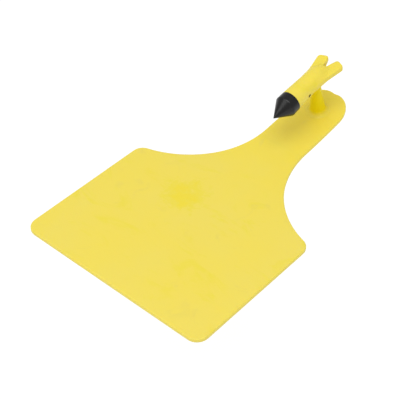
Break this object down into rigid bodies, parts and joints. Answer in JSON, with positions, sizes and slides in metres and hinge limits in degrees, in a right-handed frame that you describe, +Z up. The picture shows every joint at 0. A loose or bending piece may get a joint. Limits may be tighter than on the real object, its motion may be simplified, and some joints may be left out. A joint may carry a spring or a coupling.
{
  "type": "livestock ear tag",
  "caption": "One-piece ear tag: flat yellow flap narrowing to a round pad, with a flexible post, a cross barrel with a hard black point in front and two splayed wings behind.",
  "frame": {"origin": "on the surface that the flap lies on, below the middle of the tag's length and width", "axes": "+Y along the tag from the flap to the pad, +Z up through the post, +X across the flap"},
  "size_m": [0.076, 0.1158, 0.0244],
  "materials": {
    "tag_yellow": "satin thermoplastic polyurethane moulding, slightly waxy",
    "tip_black": "satin black hard plastic, moulded"
  },
  "bodies": {
    "panel": {"panel": "tag_yellow"},
    "neck": {"neck": "tag_yellow"},
    "head": {"head_pad": "tag_yellow", "post_foot": "tag_yellow"},
    "post_lower": {"post_lower": "tag_yellow"},
    "post_upper": {"post_upper": "tag_yellow"},
    "barrel": {"barrel": "tag_yellow", "tip": "tip_black"},
    "wing_left": {"wing_left": "tag_yellow"},
    "wing_right": {"wing_right": "tag_yellow"}
  },
  "joints": [
    {"name": "neck_lower_bend", "type": "hinge", "parent": "panel", "child": "neck", "pos_m": [0, 0.01807, 0.00102], "axis": [1, 0, 0], "range_deg": [-30, 35], "stiffness_Nm_per_rad": 0.019, "springref_deg": 2.01},
    {"name": "neck_upper_bend", "type": "hinge", "parent": "neck", "child": "head", "pos_m": [0, 0.03601, 0.00249], "axis": [1, 0, 0], "range_deg": [-30, 35], "stiffness_Nm_per_rad": 0.016, "springref_deg": 0.57},
    {"name": "post_lean", "type": "hinge", "parent": "head", "child": "post_lower", "pos_m": [0, 0.04743, 0.008], "axis": [1, 0, 0], "range_deg": [-25, 8], "stiffness_Nm_per_rad": 0.12},
    {"name": "post_twist", "type": "hinge", "parent": "post_lower", "child": "post_upper", "pos_m": [0, 0.04648, 0.01293], "axis": [0, -0.1908, 0.9816], "range_deg": [-30, 30], "stiffness_Nm_per_rad": 0.04},
    {"name": "barrel_tilt", "type": "hinge", "parent": "post_upper", "child": "barrel", "pos_m": [0, 0.04554, 0.01772], "axis": [1, 0, 0], "range_deg": [-28, 10], "stiffness_Nm_per_rad": 0.12},
    {"name": "wing_left_fold", "type": "hinge", "parent": "barrel", "child": "wing_left", "pos_m": [-0.0025, 0.0502, 0.02208], "axis": [0, 0.1908, -0.9816], "range_deg": [-12, 12], "stiffness_Nm_per_rad": 0.15},
    {"name": "wing_right_fold", "type": "hinge", "parent": "barrel", "child": "wing_right", "pos_m": [0.0025, 0.0502, 0.02208], "axis": [0, -0.1908, 0.9816], "range_deg": [-12, 12], "stiffness_Nm_per_rad": 0.15}
  ]
}
